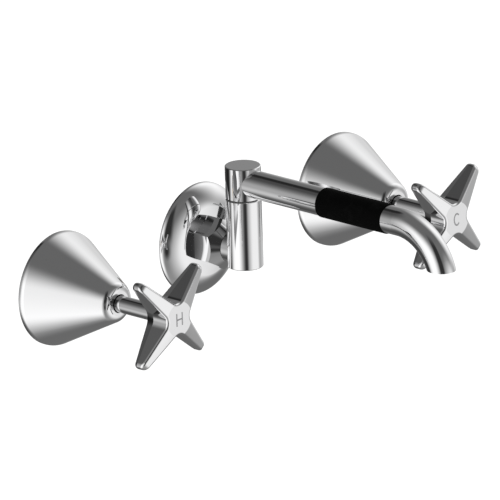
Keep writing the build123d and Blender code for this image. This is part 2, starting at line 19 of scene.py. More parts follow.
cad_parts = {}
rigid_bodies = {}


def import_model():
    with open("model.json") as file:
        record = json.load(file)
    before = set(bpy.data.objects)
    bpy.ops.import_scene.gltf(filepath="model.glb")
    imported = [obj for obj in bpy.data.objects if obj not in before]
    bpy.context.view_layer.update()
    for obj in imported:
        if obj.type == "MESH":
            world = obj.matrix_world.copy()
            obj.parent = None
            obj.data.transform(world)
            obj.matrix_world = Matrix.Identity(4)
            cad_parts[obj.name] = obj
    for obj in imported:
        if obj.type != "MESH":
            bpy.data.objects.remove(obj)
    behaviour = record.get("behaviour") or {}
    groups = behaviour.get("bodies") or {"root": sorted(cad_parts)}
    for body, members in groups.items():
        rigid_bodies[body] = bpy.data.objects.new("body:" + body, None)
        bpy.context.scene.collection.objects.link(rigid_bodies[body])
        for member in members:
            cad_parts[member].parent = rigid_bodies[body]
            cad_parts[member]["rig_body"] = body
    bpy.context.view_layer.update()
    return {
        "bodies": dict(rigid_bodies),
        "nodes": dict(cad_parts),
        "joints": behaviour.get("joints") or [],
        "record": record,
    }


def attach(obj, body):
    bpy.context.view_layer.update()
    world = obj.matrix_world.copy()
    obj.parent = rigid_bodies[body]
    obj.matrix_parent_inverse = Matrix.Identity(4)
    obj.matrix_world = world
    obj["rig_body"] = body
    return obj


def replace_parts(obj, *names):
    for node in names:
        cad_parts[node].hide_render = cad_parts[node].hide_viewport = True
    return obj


LOG = logging.getLogger("tap_set")
MM = 0.001
MICRON = 1e-6
SHARP_EDGE = 32.0       # degrees between two faces, from which their edge stays sharp
WELD = 1e-7             # metres within which two points of one solid are the same
GRID_WELD = 1e-6        # the same for the two sides of a grid that is wrapped round
SEAM_WELD = 2e-6        # the same where such a grid meets the solid that it is set into
RING_REACH = 2e-5       # metres that a facet's corner may stand off its true radius
PLACE_REACH = 1e-6      # metres that it may stand off its true place along the axis
FACES_SIDEWAYS = 0.1    # a normal with less than this along the axis looks sideways
Tone = tuple[float, float, float]
Profile = list[tuple[float, float]]


class Slot(Enum):
    """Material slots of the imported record."""

    CHROME = "chrome"
    BRASS = "brass"
    STAINLESS = "stainless"
    RUBBER = "rubber"
    PTFE = "ptfe"
    FIBRE = "fibre"
    CERAMIC = "ceramic"


class Body(Enum):
    """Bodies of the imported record."""

    WALL_FIXINGS = "wall_fixings"
    SPOUT = "spout"
    HOT_TAP = "hot_tap"
    COLD_TAP = "cold_tap"


class Lathe(Enum):
    """Axes that pieces are turned about: the axis along, and its place on the other two in mm."""

    HOT = ("Y", (-107.0, 0.0))
    COLD = ("Y", (107.0, 0.0))
    OUTLET = ("Y", (0.0, 0.0))
    POST = ("Z", (0.0, -33.8))

    @classmethod
    def of(cls, node: str) -> "Lathe":
        """Axis of a node.

        Args:
            node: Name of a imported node.

        Returns:
            The axis that this node is turned about.
        """
        lead = node.split("_")[0]
        if lead in ("hot", "cold"):
            return cls[lead.upper()]
        return cls.POST if lead in ("swivel", "stem", "spout", "column") else cls.OUTLET


class Signal:
    """One output socket of a tree. Arithmetic on it adds Math nodes."""

    def __init__(self, nodes: "Nodes", socket: bpy.types.NodeSocket) -> None:
        """Wrap a socket.

        Args:
            nodes: The builder of the tree that the socket belongs to.
            socket: The output socket.
        """
        self.nodes = nodes
        self.socket = socket

    def math(self, operation: str, *others: "Signal | float", first: bool = True) -> "Signal":
        """Add one Math node.

        Args:
            operation: Blender's name of the operation.
            others: The other operands.
            first: Whether this signal is the first operand.

        Returns:
            The node's value.
        """
        operands = [self, *others] if first else [*others, self]
        return self.nodes.signal(
            "ShaderNodeMath", {"operation": operation}, dict(enumerate(operands)))

    def __add__(self, other: "Signal | float") -> "Signal":
        """Sum."""
        return self.math("ADD", other)

    def __radd__(self, other: float) -> "Signal":
        """Sum with a number in front."""
        return self.math("ADD", other)

    def __sub__(self, other: "Signal | float") -> "Signal":
        """Difference."""
        return self.math("SUBTRACT", other)

    def __rsub__(self, other: float) -> "Signal":
        """A number less this signal."""
        return self.math("SUBTRACT", other, first=False)

    def __mul__(self, other: "Signal | float") -> "Signal":
        """Product."""
        return self.math("MULTIPLY", other)

    def __rmul__(self, other: float) -> "Signal":
        """Product with a number in front."""
        return self.math("MULTIPLY", other)

    def __truediv__(self, other: "Signal | float") -> "Signal":
        """Quotient."""
        return self.math("DIVIDE", other)

    def __abs__(self) -> "Signal":
        """Size without its sign."""
        return self.math("ABSOLUTE")

    def hypot(self, other: "Signal") -> "Signal":
        """Length of the vector whose two parts are this signal and another."""
        return (self * self + other * other).math("SQRT")

    def blend(self, other: "Signal | float", share: "Signal | float") -> "Signal":
        """Go from this signal to another by a share from 0 to 1."""
        return self + (other - self) * share

    def ramp(self, low: "Signal | float", high: "Signal | float") -> "Signal":
        """Smooth rise from 0 at one value to 1 at another.

        Args:
            low: Value at which the rise starts.
            high: Value at which it is complete.

        Returns:
            A signal from 0 to 1.
        """
        return self.nodes.signal(
            "ShaderNodeMapRange", {"interpolation_type": "SMOOTHSTEP"},
            {"Value": self, "From Min": low, "From Max": high},
        )


class Nodes:
    """Adds nodes to one shader or geometry tree."""

    def __init__(self, tree: bpy.types.NodeTree) -> None:
        """Start on a tree, which is emptied first.

        Args:
            tree: The tree to fill.
        """
        self.tree = tree
        tree.nodes.clear()

    def add(
        self, kind: str, settings: Mapping[str, object] | None = None,
        inputs: Mapping[str | int, object] | None = None,
    ) -> bpy.types.Node:
        """Add one node.

        Args:
            kind: Blender's name of the node's type.
            settings: Properties of the node, set before its sockets are read.
            inputs: For each socket, by name or number, a value, a socket or a signal.

        Returns:
            The new node.
        """
        node = self.tree.nodes.new(kind)
        for key, value in (settings or {}).items():
            setattr(node, key, value)
        for key, value in (inputs or {}).items():
            self.join(node.inputs[key], value)
        return node

    def join(self, target: bpy.types.NodeSocket, value: object) -> None:
        """Give an input socket a value or a link.

        Args:
            target: The input socket.
            value: A value, a socket or a signal.
        """
        if isinstance(value, Signal):
            value = value.socket
        if isinstance(value, bpy.types.NodeSocket):
            self.tree.links.new(value, target)
        else:
            target.default_value = value

    def signal(
        self, kind: str, settings: Mapping[str, object] | None = None,
        inputs: Mapping[str | int, object] | None = None, output: str | int = 0,
    ) -> Signal:
        """Add one node and give one of its outputs.

        Args:
            kind: Blender's name of the node's type.
            settings: As for add.
            inputs: As for add.
            output: Name or number of the output.

        Returns:
            The output as a signal.
        """
        return Signal(self, self.add(kind, settings, inputs).outputs[output])

    def parts(self, vector: Signal) -> list[Signal]:
        """X, Y and Z of a vector."""
        split = self.add("ShaderNodeSeparateXYZ", {}, {0: vector})
        return [Signal(self, output) for output in split.outputs]

    def vector(self, x: Signal, y: Signal, z: Signal) -> Signal:
        """Vector of three signals."""
        return self.signal("ShaderNodeCombineXYZ", {}, {0: x, 1: y, 2: z})

    def tone(self, amount: Signal, low: Tone, high: Tone) -> Signal:
        """Colour between two.

        Args:
            amount: 0 for the first colour, 1 for the second.
            low: The first colour.
            high: The second colour.

        Returns:
            The colour.
        """
        return self.signal(
            "ShaderNodeMix", {"data_type": "RGBA"},
            {0: amount, 6: (*low, 1.0), 7: (*high, 1.0)}, output=2,
        )


@dataclass(frozen=True)
class Ground:
    """What a finish draws on: the tree's builder, the place on the piece and the lathe's frame."""

    nodes: Nodes
    place: Signal
    along: Signal
    radius: Signal

    @classmethod
    def under(cls, nodes: Nodes, lathe: Lathe) -> "Ground":
        """Read the place on the piece.

        Args:
            nodes: The tree's builder.
            lathe: The axis that the piece is turned about.

        Returns:
            The ground.
        """
        place = nodes.signal("ShaderNodeTexCoord", output="Object")
        x, y, z = nodes.parts(place)
        axis, (first, second) = lathe.value
        along, other = (y, z) if axis == "Y" else (z, y)
        return cls(nodes, place, along, (x - first * MM).hypot(other - second * MM))

    def noise(self, size_mm: float, detail: float = 2.0) -> Signal:
        """Noise whose features are of one size.

        Args:
            size_mm: Size of a feature.
            detail: Octaves of finer noise.

        Returns:
            Noise from 0 to 1.
        """
        return self.nodes.signal("ShaderNodeTexNoise", {}, {
            "Vector": self.place, "Scale": 1 / (size_mm * MM), "Detail": detail,
        })

    def spots(self, size_mm: float, share: float, core: float = 0.6) -> Signal:
        """Soft round spots, one to a cell.

        Args:
            size_mm: Size of a cell.
            share: Radius of a spot as a share of its cell.
            core: Radius within which the spot is full, as a share of its own.

        Returns:
            1 in a spot and 0 outside.
        """
        reach = self.nodes.signal("ShaderNodeTexVoronoi", {}, {
            "Vector": self.place, "Scale": 1 / (size_mm * MM),
        })
        return 1.0 - reach.ramp(share * core, share)

    def rings(self, pitch_mm: float, across: float = 0.83) -> Signal:
        """Uneven rings about the lathe's axis, as a tool leaves them on sides and faces alike.

        Args:
            pitch_mm: Distance from one ring to the next.
            across: Rings on a face for each ring on a side.

        Returns:
            Height from 0 to 1.
        """
        travel = (self.along + self.radius * across) / (pitch_mm * MM)
        return self.nodes.signal("ShaderNodeTexNoise", {"noise_dimensions": "1D"}, {
            "W": travel, "Scale": 1.0, "Detail": 3.0, "Roughness": 0.65,
        })

    def relief(self, height: Signal, depth_um: float) -> Signal:
        """Normal of a fine relief.

        Args:
            height: Relief from 0 to 1.
            depth_um: Its depth in thousandths of a millimetre.

        Returns:
            The normal.
        """
        return self.nodes.signal("ShaderNodeBump", {}, {
            "Strength": 1.0, "Distance": depth_um * MICRON, "Height": height,
        })


@dataclass(frozen=True)
class Finish:
    """A surface finish: a principled shader whose tone, gloss and relief vary over the surface.

    The roughness swings about its middle value. A patch is as many grains across as patch says.
    """

    title: str
    tint: Tone
    shade: Tone
    roughness: float
    roughness_swing: float
    grain_mm: float
    depth_um: float
    metallic: float = 0.0
    specular: float = 0.5
    patch: float = 12.0

    def material(self, lathe: Lathe) -> bpy.types.Material:
        """Make the material, or give it again if it is made.

        Args:
            lathe: The axis that the piece is turned about.

        Returns:
            The material of this finish about that axis.
        """
        title = f"{self.title}_{lathe.name.lower()}"
        found = bpy.data.materials.get(title)
        if found is not None:
            return found
        made = bpy.data.materials.new(title)
        made.use_nodes = True
        nodes = Nodes(made.node_tree)
        shader = nodes.add("ShaderNodeBsdfPrincipled", {}, {
            "Metallic": self.metallic, "Specular IOR Level": self.specular,
        })
        ground = Ground.under(nodes, lathe)
        blend, gloss, height = self.pattern(ground)
        for name, value in {
            "Base Color": nodes.tone(blend, self.tint, self.shade),
            "Roughness": self.roughness + self.roughness_swing * (gloss - 0.5),
            "Normal": ground.relief(height, self.depth_um),
        }.items():
            nodes.join(shader.inputs[name], value)
        nodes.add("ShaderNodeOutputMaterial", {}, {"Surface": shader.outputs[0]})
        made.diffuse_color = (*self.tint, 1.0)
        return made

    def pattern(self, ground: Ground) -> tuple[Signal, Signal, Signal]:
        """What varies over the surface.

        Args:
            ground: The place on the piece.

        Returns:
            Blend from tint to shade, gloss and height, each from 0 to 1.
        """
        fine = ground.noise(self.grain_mm, 4.0)
        return ground.noise(self.grain_mm * self.patch), fine, fine


@dataclass(frozen=True)
class Plate(Finish):
    """Polished plate: a long soft swell under the polish, faint wipe marks and dried drops.

    The swell is counted in grains and a field of drops in drops. The noise of the fields turns
    to drops between the two values of wetted.
    """

    patch: float = 9.0
    swell: float = 2.0
    drop_mm: float = 7.0
    drop_share: float = 0.10
    drop_field: float = 3.0
    wetted: tuple[float, float] = (0.45, 0.62)
    wipe_share: float = 0.2

    def pattern(self, ground: Ground) -> tuple[Signal, Signal, Signal]:
        """Wipe marks and drops, over the swell that polishing leaves."""
        wipe = ground.noise(self.grain_mm * self.patch, 5.0)
        fields = ground.noise(self.drop_mm * self.drop_field).ramp(*self.wetted)
        drops = ground.spots(self.drop_mm, self.drop_share) * fields
        swell = ground.noise(self.grain_mm * self.swell, 1.0)
        return drops.blend(wipe, self.wipe_share), wipe + drops * 0.5, swell


@dataclass(frozen=True)
class Machined(Finish):
    """Metal left as it was turned, with tool rings about the lathe's axis and some tarnish."""

    patch: float = 30.0
    tarnished: tuple[float, float] = (0.4, 0.7)
    other_share: float = 0.3

    def pattern(self, ground: Ground) -> tuple[Signal, Signal, Signal]:
        """Tool rings, with tarnish in patches, each with a share in the other's channel."""
        rings = ground.rings(self.grain_mm)
        tarnish = ground.noise(self.grain_mm * self.patch, 4.0).ramp(*self.tarnished)
        share = self.other_share
        return tarnish.blend(rings, share), rings.blend(tarnish, share), rings


@dataclass(frozen=True)
class Moulded(Finish):
    """Moulded rubber or plastic: a fine pebbled skin with a little dust."""

    patch: float = 20.0
    pebble_share: float = 0.7
    fine: float = 0.5
    fine_share: float = 0.4
    dusty: tuple[float, float] = (0.5, 0.75)

    def pattern(self, ground: Ground) -> tuple[Signal, Signal, Signal]:
        """Pebbles with a finer grain on them, and patches of dust."""
        pebbles = 1.0 - ground.spots(self.grain_mm, self.pebble_share)
        dust = ground.noise(self.grain_mm * self.patch, 5.0).ramp(*self.dusty)
        fine = ground.noise(self.grain_mm * self.fine)
        return dust, pebbles.blend(dust, 0.5), pebbles.blend(fine, self.fine_share)


@dataclass(frozen=True)
class Pressed(Finish):
    """Pressed fibre sheet: fibres that lie along the sheet, light on dark."""

    patch: float = 3.0
    squeeze: tuple[float, float, float] = (1.0, 8.0, 0.25)

    def pattern(self, ground: Ground) -> tuple[Signal, Signal, Signal]:
        """Flat fibres, drawn by noise that is squeezed along the lathe's axis."""
        squeezed = ground.nodes.signal(
            "ShaderNodeVectorMath", {"operation": "MULTIPLY"}, {0: ground.place, 1: self.squeeze})
        fibres = ground.nodes.signal("ShaderNodeTexNoise", {}, {
            "Vector": squeezed, "Scale": 1 / (self.grain_mm * MM),
            "Detail": 5.0, "Distortion": 0.6,
        })
        return fibres, ground.noise(self.grain_mm * self.patch), fibres


CHROME = Plate(
    title="chrome_plate", tint=(0.92, 0.92, 0.925), shade=(0.87, 0.87, 0.875), metallic=1.0,
    roughness=0.03, roughness_swing=0.03, grain_mm=1.4, depth_um=0.03,
)
BRASS = Machined(
    title="turned_brass", tint=(0.74, 0.55, 0.28), shade=(0.56, 0.39, 0.18), metallic=1.0,
    roughness=0.30, roughness_swing=0.18, grain_mm=0.22, depth_um=4.0,
)
STAINLESS = Machined(
    title="turned_stainless", tint=(0.56, 0.56, 0.57), shade=(0.46, 0.46, 0.47), metallic=1.0,
    roughness=0.28, roughness_swing=0.12, grain_mm=0.12, depth_um=2.0,
)
RUBBER = Moulded(
    title="black_rubber", tint=(0.0012, 0.0012, 0.0012), shade=(0.003, 0.003, 0.003),
    roughness=0.75, roughness_swing=0.12, grain_mm=0.3, depth_um=6.0, specular=0.06,
)
PTFE = Finish(
    title="white_ptfe", tint=(0.86, 0.86, 0.84), shade=(0.78, 0.78, 0.76),
    roughness=0.4, roughness_swing=0.10, grain_mm=0.3, depth_um=3.0, specular=0.35,
)
FIBRE = Pressed(
    title="red_fibre", tint=(0.40, 0.11, 0.075), shade=(0.22, 0.05, 0.035),
    roughness=0.75, roughness_swing=0.2, grain_mm=0.25, depth_um=14.0, specular=0.3,
)
CERAMIC = Machined(
    title="lapped_ceramic", tint=(0.87, 0.86, 0.81), shade=(0.80, 0.79, 0.74),
    roughness=0.16, roughness_swing=0.05, grain_mm=0.08, depth_um=0.4,
)
LETTER_FILL = Finish(
    title="etched_letter", tint=(0.50, 0.50, 0.505), shade=(0.42, 0.42, 0.425), metallic=0.6,
    roughness=0.5, roughness_swing=0.1, grain_mm=0.12, depth_um=4.0,
)
# Painted shade: the swivel washer is white PTFE, but is tinted near black so that the seam between
# column and head looks shaded.
PAINTED_SEAM_SHADE = Moulded(
    title="painted_seam_shade", tint=(0.06, 0.06, 0.06), shade=(0.085, 0.085, 0.085),
    roughness=0.5, roughness_swing=0.1, grain_mm=0.25, depth_um=3.0, specular=0.3,
)
SLOT_FINISH = {
    Slot.CHROME: CHROME, Slot.BRASS: BRASS, Slot.STAINLESS: STAINLESS, Slot.RUBBER: RUBBER,
    Slot.PTFE: PTFE, Slot.FIBRE: FIBRE, Slot.CERAMIC: CERAMIC,
}


@dataclass(frozen=True)
class Recipe:
    """A Geometry Nodes tree with named inputs, run once and kept as a plain mesh."""

    title: str
    material: bpy.types.Material

    def sizes(self) -> dict[str, float | int]:
        """Named inputs of the tree and their values."""
        raise NotImplementedError

    def grow(self, nodes: Nodes, given: Mapping[str, Signal]) -> Signal:
        """Build the shape.

        Args:
            nodes: The tree's builder.
            given: The tree's inputs by name, with the source mesh as Source.

        Returns:
            The geometry.
        """
        raise NotImplementedError

    def mesh(self, source: bpy.types.Mesh) -> bpy.types.Mesh:
        """Run the tree.

        Args:
            source: The mesh that the tree starts from.

        Returns:
            The finished mesh.
        """
        sizes = self.sizes()
        tree = bpy.data.node_groups.new(self.title, "GeometryNodeTree")
        face = tree.interface
        face.new_socket("Source", in_out="INPUT", socket_type="NodeSocketGeometry")
        face.new_socket("Shape", in_out="OUTPUT", socket_type="NodeSocketGeometry")
        for name, value in sizes.items():
            kind = "NodeSocketInt" if isinstance(value, int) else "NodeSocketFloat"
            face.new_socket(name, in_out="INPUT", socket_type=kind)
        nodes = Nodes(tree)
        entry = nodes.add("NodeGroupInput")
        given = {name: Signal(nodes, entry.outputs[name]) for name in ("Source", *sizes)}
        real = nodes.signal("GeometryNodeRealizeInstances", {}, {0: self.grow(nodes, given)})
        dressed = nodes.signal(
            "GeometryNodeSetMaterial", {}, {"Geometry": real, "Material": self.material})
        nodes.add("NodeGroupOutput", {}, {"Shape": dressed})
        holder = bpy.data.objects.new(self.title, source)
        bpy.context.scene.collection.objects.link(holder)
        modifier = holder.modifiers.new(self.title, "NODES")
        modifier.node_group = tree
        for item in face.items_tree:
            if item.in_out == "INPUT" and item.name in sizes:
                modifier[item.identifier] = sizes[item.name]
        graph = bpy.context.evaluated_depsgraph_get()
        made = bpy.data.meshes.new_from_object(holder.evaluated_get(graph))
        holder.modifiers.remove(modifier)
        bpy.data.objects.remove(holder)
        return made


@dataclass(frozen=True)
class PipeThread(Recipe):
    """Whitworth thread round an axis along Y, run out at one end and chamfered at the other.

    The two end rings are round: the first at the full radius, the last at the root radius.
    Sizes are in mm, but for flat, the share of a flank that crest and root take each, and
    run_out, in turns.
    """

    centre: float
    radius: float
    start: float
    end: float
    columns: int
    pitch: float = 1.814
    depth: float = 1.162
    flat: float = 0.04
    run_out: float = 1.1
    rows_a_turn: int = 14

    def sizes(self) -> dict[str, float | int]:
        """Sizes in metres, and the counts of columns and rows."""
        turns = abs(self.end - self.start) / self.pitch
        return {
            "Centre": self.centre * MM, "Radius": self.radius * MM, "Depth": self.depth * MM,
            "Pitch": self.pitch * MM, "Start": self.start * MM, "End": self.end * MM,
            "Columns": self.columns, "Rows": round(turns * self.rows_a_turn),
        }

    def grow(self, nodes: Nodes, given: Mapping[str, Signal]) -> Signal:
        """Wrap a grid round the axis and let its radius follow the thread."""
        grid = nodes.signal("GeometryNodeMeshGrid", {}, {
            "Size X": 1.0, "Size Y": 1.0,
            "Vertices X": given["Columns"] + 1.0, "Vertices Y": given["Rows"],
        })
        across, up, _ = nodes.parts(nodes.signal("GeometryNodeInputPosition"))
        lap = across + 0.5
        along = given["Start"] + (up + 0.5) * (given["End"] - given["Start"])
        from_start = abs(along - given["Start"]) / given["Pitch"]
        to_end = abs(given["End"] - along)
        phase = (along / given["Pitch"] - lap).math("FRACT")
        flank = (1.0 - abs(phase * 2.0 - 1.0)).ramp(self.flat, 1 - self.flat)
        cut = given["Depth"] * (1.0 - flank) * from_start.ramp(0.0, self.run_out)
        chamfer = (given["Depth"] - to_end).math("MAXIMUM", 0.0)
        reach = given["Radius"] - cut.math("MAXIMUM", chamfer)
        turn = lap * (2 * math.pi)
        spot = nodes.vector(
            given["Centre"] + reach * turn.math("COSINE"), along, reach * turn.math("SINE"))
        wrapped = nodes.signal("GeometryNodeSetPosition", {}, {"Geometry": grid, "Position": spot})
        return nodes.signal(
            "GeometryNodeMergeByDistance", {}, {"Geometry": wrapped, "Distance": GRID_WELD})


@dataclass(frozen=True)
class LetterStroke(Recipe):
    """Flat strokes that follow the lines of a letter, stood up against a face that looks out."""

    centre: float
    face_out: float
    stroke: float
    thick: float

    def sizes(self) -> dict[str, float | int]:
        """Sizes in metres."""
        return {
            "Centre": self.centre * MM, "Face": -self.face_out * MM,
            "Stroke": self.stroke * MM, "Thick": self.thick * MM,
        }

    def grow(self, nodes: Nodes, given: Mapping[str, Signal]) -> Signal:
        """Sweep a flat bar along the letter's lines and stand it up."""
        lines = nodes.signal("GeometryNodeMeshToCurve", {}, {"Mesh": given["Source"]})
        level = nodes.signal("GeometryNodeSetCurveNormal", {"mode": "Z_UP"}, {"Curve": lines})
        bar = nodes.signal(
            "GeometryNodeCurvePrimitiveQuadrilateral", {"mode": "RECTANGLE"},
            {"Width": given["Stroke"], "Height": given["Thick"]},
        )
        swept = nodes.signal("GeometryNodeCurveToMesh", {}, {
            "Curve": level, "Profile Curve": bar, "Fill Caps": True,
        })
        return nodes.signal("GeometryNodeTransform", {}, {
            "Geometry": swept, "Rotation": (math.pi / 2, 0.0, 0.0),
            "Translation": nodes.vector(given["Centre"], given["Face"], given["Centre"] * 0.0),
        })


@dataclass(frozen=True)
class Glyph:
    """A generic letter drawn in strokes of one width. Sizes over the strokes, in mm."""

    title: str
    width: float = 4.9
    height: float = 7.0
    stroke: float = 0.8

    def chains(self) -> list[Profile]:
        """Middle lines of the strokes: chains of points across and up from the letter's middle."""
        raise NotImplementedError

    def mesh(self) -> bpy.types.Mesh:
        """The middle lines as a flat mesh of edges."""
        points, edges = [], []
        for chain in self.chains():
            first = len(points)
            points += [(x * MM, z * MM, 0.0) for x, z in chain]
            edges += [(point, point + 1) for point in range(first, len(points) - 1)]
        made = bpy.data.meshes.new(self.title)
        made.from_pydata(points, edges, [])
        return made


@dataclass(frozen=True)
class BarGlyph(Glyph):
    """Letter of two uprights and a bar between them."""

    def chains(self) -> list[Profile]:
        """The left upright, the right one and the bar, which ends at their flanks."""
        side, top = (self.width - self.stroke) / 2, self.height / 2
        inner = side - self.stroke / 2
        return [
            [(-side, -top), (-side, top)],
            [(side, -top), (side, top)],
            [(-inner, 0.0), (inner, 0.0)],
        ]


@dataclass(frozen=True)
class BowGlyph(Glyph):
    """Letter of one oval stroke that is open on its right, by a half angle in degrees."""

    opening: float = 42.0
    steps: int = 40

    def chains(self) -> list[Profile]:
        """The bow, from its upper end round to its lower one."""
        across, up = (self.width - self.stroke) / 2, (self.height - self.stroke) / 2
        sweep = (360 - 2 * self.opening) / self.steps
        turns = [math.radians(self.opening + sweep * step) for step in range(self.steps + 1)]
        return [[(across * math.cos(turn), up * math.sin(turn)) for turn in turns]]


def closed_mesh(work: bmesh.types.BMesh, title: str, finish: bpy.types.Material) -> bpy.types.Mesh:
    """Finish a closed shell: faces outward, smooth but for its sharp edges.

    Args:
        work: The shell, which is freed.
        title: Name of the mesh.
        finish: Its material.

    Returns:
        The mesh.
    """
    bmesh.ops.recalc_face_normals(work, faces=work.faces[:])
    for face in work.faces:
        face.smooth = True
        face.material_index = 0
    loose = sum(not edge.is_manifold for edge in work.edges)
    LOG.info("%s closed but for %d edges", title, loose)
    made = bpy.data.meshes.new(title)
    work.to_mesh(made)
    work.free()
    made.materials.append(finish)
    made.set_sharp_from_angle(angle=math.radians(SHARP_EDGE))
    return made


@dataclass
class SubAssembly:
    """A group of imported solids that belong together, and the pieces that the scene adds to them."""

    frame: dict
    nodes: tuple[str, ...] = ()
    special: Mapping[str, Finish] = field(default_factory=dict)

    def slot(self, node: str) -> Slot:
        """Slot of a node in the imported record."""
        parts = self.frame["record"]["subparts"]
        return next(Slot(part["material_slot"]) for part in parts if part["node"] == node)

    def finish(self, node: str) -> Finish:
        """Finish of a node: its own, or else that of its slot."""
        return self.special.get(node, SLOT_FINISH[self.slot(node)])

    def dress(self) -> None:
        """Give every solid of the group its finish."""
        for node in self.nodes:
            finish = self.finish(node)
            materials = self.frame["nodes"][node].data.materials
            materials.clear()
            materials.append(finish.material(Lathe.of(node)))
            LOG.info("%s in %s", node, finish.title)

    def build(self) -> None:
        """Dress the group. A group that adds pieces to its solids builds them here too."""
        self.dress()

    def add(self, title: str, mesh: bpy.types.Mesh, body: Body, slot: Slot) -> bpy.types.Object:
        """Add a finished piece.

        Args:
            title: Name of the piece.
            mesh: Its mesh, dressed and in place.
            body: The body that it moves with.
            slot: Not used.

        Returns:
            The piece.
        """
        mesh.name = title
        piece = bpy.data.objects.new(title, mesh)
        bpy.context.scene.collection.objects.link(piece)
        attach(piece, body.value)
        LOG.info("%s with %d faces on %s", title, len(mesh.polygons), body.value)
        return piece

    def threaded(self, node: str, reach: tuple[float, float], radius: float) -> None:
        """Replace a solid by a copy whose plain wall end is cut with a pipe thread.

        Args:
            node: The solid.
            reach: Where the thread starts and ends, as distances into the wall.
            radius: Major radius of the thread.
        """
        finish = self.finish(node).material(Lathe.of(node))
        centre = Lathe.of(node).value[1][0]
        start, end = reach
        work = bmesh.new()
        work.from_mesh(self.frame["nodes"][node].data)
        bmesh.ops.remove_doubles(work, verts=work.verts[:], dist=WELD)

        def on_ring(vertex: bmesh.types.BMVert, place: float) -> bool:
            """Whether a vertex is on the thread's major radius at a distance into the wall."""
            off = abs(math.hypot(vertex.co.x - centre * MM, vertex.co.z) - radius * MM)
            return off < RING_REACH and abs(vertex.co.y - place * MM) < PLACE_REACH

        first = {vertex for vertex in work.verts if on_ring(vertex, start)}
        last = {vertex for vertex in work.verts if on_ring(vertex, end)}
        plain = [
            face for face in work.faces
            if set(face.verts) <= first | last and abs(face.normal.y) < FACES_SIDEWAYS
        ]
        recipe = PipeThread(f"{node}_thread", finish, centre, radius, start, end, len(first))
        bmesh.ops.delete(work, geom=plain, context="FACES")
        for vertex in last:
            share = (radius - recipe.depth) / radius
            vertex.co.x = centre * MM + (vertex.co.x - centre * MM) * share
            vertex.co.z *= share
        work.from_mesh(recipe.mesh(bpy.data.meshes.new(f"{node}_start")))
        bmesh.ops.remove_doubles(work, verts=work.verts[:], dist=SEAM_WELD)
        self.stand_in(node, "threaded", closed_mesh(work, node, finish))

    def stand_in(self, node: str, ending: str, mesh: bpy.types.Mesh) -> None:
        """Let a mesh stand for a solid.

        Args:
            node: The solid.
            ending: What the solid's name gets behind it.
            mesh: The mesh, dressed and in place.
        """
        body = Body(self.frame["nodes"][node]["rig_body"])
        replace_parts(self.add(f"{node}_{ending}", mesh, body, self.slot(node)), node)


@dataclass(kw_only=True)
class Tap(SubAssembly):
    """One tap: cone cover, valve, spindle and cross handle, with the letter on the handle's hub."""

    unit: str
    glyph: Glyph
    thread_radius: float = 10.48
    thread_in: float = 8.0
    hub_front_out: float = 86.8
    letter_proud: float = 0.03
    parts: tuple[str, ...] = (
        "flange", "valve_body", "body_o_ring", "seat_seal", "fixed_disc", "gland_washer", "spindle",
        "spindle_o_rings", "moving_disc", "circlip", "handle", "handle_screw",
    )

    def __post_init__(self) -> None:
        """Name this tap's solids."""
        self.nodes = tuple(f"{self.unit}_{part}" for part in self.parts)

    def letter(self) -> None:
        """Mark the letter on the hub's flat face, half of its thickness sunk into it."""
        lathe = Lathe[self.unit.upper()]
        recipe = LetterStroke(
            f"{self.unit}_letter", LETTER_FILL.material(lathe), lathe.value[1][0],
            self.hub_front_out, self.glyph.stroke, 2 * self.letter_proud,
        )
        mesh = recipe.mesh(self.glyph.mesh())
        self.add(recipe.title, mesh, Body(f"{self.unit}_tap"), Slot.CHROME)

    def build(self) -> None:
        """Dress the tap, thread its body and mark its letter."""
        self.dress()
        self.threaded(f"{self.unit}_valve_body", (0.0, self.thread_in), self.thread_radius)
        self.letter()


@dataclass(frozen=True)
class Pressing:
    """A cover pressed from sheet, by its half section: radii and heights off the wall in mm.

    The shoulder is one Bezier curve from the lip to the flat land, with the pulls between them.
    """

    rim_radius: float = 30.15
    lip: float = 0.8
    pulls: tuple[tuple[float, float], ...] = ((30.15, 1.9), (28.6, 4.4), (22.8, 8.05))
    land_radius: float = 18.6
    height: float = 8.6
    hole_radius: float = 10.88
    wall: float = 1.3
    steps: int = 64
    columns: int = 160

    def shoulder(self) -> list[Vector]:
        """Points of the outer curve, from the lip in to the land."""
        ends = (self.rim_radius, self.lip), (self.land_radius, self.height)
        control = [Vector(spot) for spot in (ends[0], *self.pulls, ends[1])]
        curve = []
        for step in range(self.steps + 1):
            row = control
            while len(row) > 1:
                row = [one.lerp(other, step / self.steps) for one, other in zip(row, row[1:])]
            curve.append(row[0])
        return curve

    def section(self) -> list[Vector]:
        """The closed half section: over the outside to the hole, and back along the inside."""
        outer = self.shoulder()
        inner = []
        for before, here, after in zip(outer[:1] + outer, outer, outer[1:] + outer[-1:]):
            run = (after - before).normalized()
            inner.append(here - self.wall * Vector((run.y, -run.x)))
        return [
            Vector((self.rim_radius, 0.0)), *outer, Vector((self.hole_radius, self.height)),
            Vector((self.hole_radius, self.height - self.wall)), *reversed(inner),
            Vector((self.rim_radius - self.wall, 0.0)),
        ]

    def mesh(self, title: str, finish: bpy.types.Material) -> bpy.types.Mesh:
        """Turn the section about the outlet's axis.

        Args:
            title: Name of the mesh.
            finish: Its material.

        Returns:
            The closed shell.
        """
        work = bmesh.new()
        ring = [work.verts.new((spot.x * MM, -spot.y * MM, 0.0)) for spot in self.section()]
        edges = [work.edges.new(pair) for pair in zip(ring, ring[1:] + ring[:1])]
        bmesh.ops.spin(
            work, geom=ring + edges, cent=(0, 0, 0), axis=(0, 1, 0), dvec=(0, 0, 0),
            angle=2 * math.pi, steps=self.columns, use_merge=True, use_duplicate=False)
        bmesh.ops.remove_doubles(work, verts=work.verts[:], dist=WELD)
        return closed_mesh(work, title, finish)


